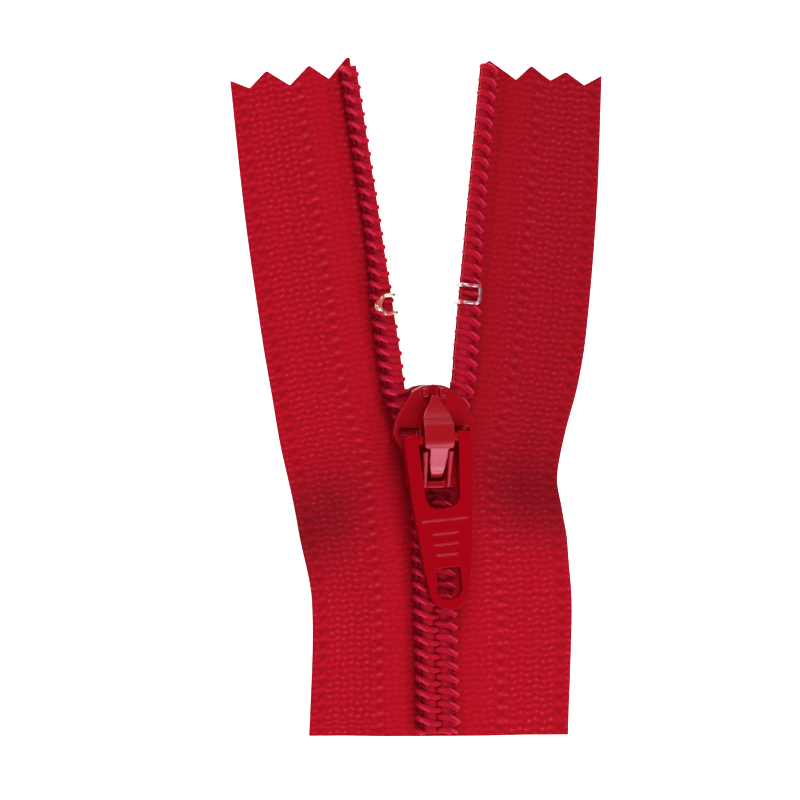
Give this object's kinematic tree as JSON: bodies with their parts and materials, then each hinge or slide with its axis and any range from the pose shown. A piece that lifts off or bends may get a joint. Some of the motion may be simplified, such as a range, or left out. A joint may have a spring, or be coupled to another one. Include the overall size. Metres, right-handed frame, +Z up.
{
  "type": "zipper",
  "caption": "Short nylon-coil zipper, part open: two woven tapes with sewn coils, metal top stops and an auto-lock slider with a swinging pull tab.",
  "frame": {"origin": "on the floor under the middle of the whole zipper's box", "axes": "+Y along the chain from the straight cut end towards the pinked open tops, +Z up out of the face with the slider, +X to the right seen from above"},
  "size_m": [0.0362, 0.0652, 0.006],
  "materials": {
    "tape": "woven polyester tape, deep red, matt",
    "coil": "dyed nylon monofilament, satin",
    "cord": "twisted filler cord, matt",
    "thread": "sewing thread, slight sheen",
    "enamel": "glossy red enamel on die-cast metal",
    "stop_metal": "bent metal clip with worn red paint"
  },
  "bodies": {
    "closed_end": {"left_tape_end": "tape", "left_coil_end": "coil", "left_cord_end": "cord", "left_stitching_end": "thread", "right_tape_end": "tape", "right_coil_end": "coil", "right_cord_end": "cord", "right_stitching_end": "thread"},
    "left_lower_throat": {"left_tape_lower_throat": "tape", "left_coil_lower_throat": "coil", "left_cord_lower_throat": "cord", "left_stitching_lower_throat": "thread"},
    "left_middle": {"left_tape_middle": "tape", "left_coil_middle": "coil", "left_cord_middle": "cord", "left_stitching_middle": "thread"},
    "left_throat": {"left_tape_throat": "tape", "left_coil_throat": "coil", "left_cord_throat": "cord", "left_stitching_throat": "thread"},
    "left_arm": {"left_tape_arm": "tape", "left_coil_arm": "coil", "left_cord_arm": "cord", "left_stitching_arm": "thread", "left_top_stop": "stop_metal"},
    "right_lower_throat": {"right_tape_lower_throat": "tape", "right_coil_lower_throat": "coil", "right_cord_lower_throat": "cord", "right_stitching_lower_throat": "thread"},
    "right_middle": {"right_tape_middle": "tape", "right_coil_middle": "coil", "right_cord_middle": "cord", "right_stitching_middle": "thread"},
    "right_throat": {"right_tape_throat": "tape", "right_coil_throat": "coil", "right_cord_throat": "cord", "right_stitching_throat": "thread"},
    "right_arm": {"right_tape_arm": "tape", "right_coil_arm": "coil", "right_cord_arm": "cord", "right_stitching_arm": "thread", "right_top_stop": "stop_metal"},
    "slider": {"slider_body": "enamel"},
    "lock": {"locking_spring": "enamel"},
    "pull": {"pull_tab": "enamel"}
  },
  "joints": [
    {"name": "slider_travel", "type": "slide", "parent": "closed_end", "child": "slider", "axis": [0, 1, 0], "range_m": [-0.02, 0]},
    {"name": "pull_swing", "type": "hinge", "parent": "slider", "child": "pull", "pos_m": [-0.0002, -0.00369, 0.005], "axis": [-0.9976, -0.0698, 0], "range_deg": [0, 175]},
    {"name": "lock_lift", "type": "hinge", "parent": "slider", "child": "lock", "pos_m": [-0.0002, 0.00021, 0.00462], "axis": [-1, 0, 0], "range_deg": [0, 4.5]},
    {"name": "left_lower_throat_bend", "type": "hinge", "parent": "closed_end", "child": "left_lower_throat", "pos_m": [-0.00115, -0.02554, 0], "axis": [0, 0, 1], "range_deg": [0, 20.5], "deforming": ["left_tape_lower_throat", "left_coil_lower_throat", "left_cord_lower_throat", "left_stitching_lower_throat", "left_tape_end", "left_coil_end", "left_cord_end", "left_stitching_end"]},
    {"name": "left_middle_bend", "type": "hinge", "parent": "left_lower_throat", "child": "left_middle", "pos_m": [-0.00115, -0.01844, 0], "axis": [0, 0, 1], "range_deg": [-13.2, 0], "deforming": ["left_tape_middle", "left_coil_middle", "left_cord_middle", "left_stitching_middle"]},
    {"name": "left_throat_bend", "type": "hinge", "parent": "left_middle", "child": "left_throat", "pos_m": [-0.00115, -0.00554, 0], "axis": [0, 0, 1], "range_deg": [-20.5, 0], "deforming": ["left_tape_throat", "left_coil_throat", "left_cord_throat", "left_stitching_throat"]},
    {"name": "left_arm_bend", "type": "hinge", "parent": "left_throat", "child": "left_arm", "pos_m": [-0.00358, 0.00113, 0], "axis": [0, 0, 1], "range_deg": [0, 13.2], "deforming": ["left_tape_arm", "left_coil_arm", "left_cord_arm", "left_stitching_arm"]},
    {"name": "right_lower_throat_bend", "type": "hinge", "parent": "closed_end", "child": "right_lower_throat", "pos_m": [0.00075, -0.02554, 0], "axis": [0, 0, 1], "range_deg": [-20.5, 0], "deforming": ["right_tape_lower_throat", "right_coil_lower_throat", "right_cord_lower_throat", "right_stitching_lower_throat", "right_tape_end", "right_coil_end", "right_cord_end", "right_stitching_end"]},
    {"name": "right_middle_bend", "type": "hinge", "parent": "right_lower_throat", "child": "right_middle", "pos_m": [0.00075, -0.01844, 0], "axis": [0, 0, 1], "range_deg": [0, 13.2], "deforming": ["right_tape_middle", "right_coil_middle", "right_cord_middle", "right_stitching_middle"]},
    {"name": "right_throat_bend", "type": "hinge", "parent": "right_middle", "child": "right_throat", "pos_m": [0.00075, -0.00554, 0], "axis": [0, 0, 1], "range_deg": [0, 20.5], "deforming": ["right_tape_throat", "right_coil_throat", "right_cord_throat", "right_stitching_throat"]},
    {"name": "right_arm_bend", "type": "hinge", "parent": "right_throat", "child": "right_arm", "pos_m": [0.00318, 0.00113, 0], "axis": [0, 0, 1], "range_deg": [-13.2, 0], "deforming": ["right_tape_arm", "right_coil_arm", "right_cord_arm", "right_stitching_arm"]}
  ],
  "couplings": [
    {"joint": "lock_lift", "follows": "pull_swing", "ratio": 0.0228},
    {"joint": "left_lower_throat_bend", "follows": "slider_travel", "rad_per_m": -17.453},
    {"joint": "left_middle_bend", "follows": "slider_travel", "rad_per_m": 11.083},
    {"joint": "left_throat_bend", "follows": "slider_travel", "rad_per_m": 17.453},
    {"joint": "left_arm_bend", "follows": "slider_travel", "rad_per_m": -11.083},
    {"joint": "right_lower_throat_bend", "follows": "slider_travel", "rad_per_m": 17.453},
    {"joint": "right_middle_bend", "follows": "slider_travel", "rad_per_m": -11.083},
    {"joint": "right_throat_bend", "follows": "slider_travel", "rad_per_m": -17.453},
    {"joint": "right_arm_bend", "follows": "slider_travel", "rad_per_m": 11.083}
  ]
}
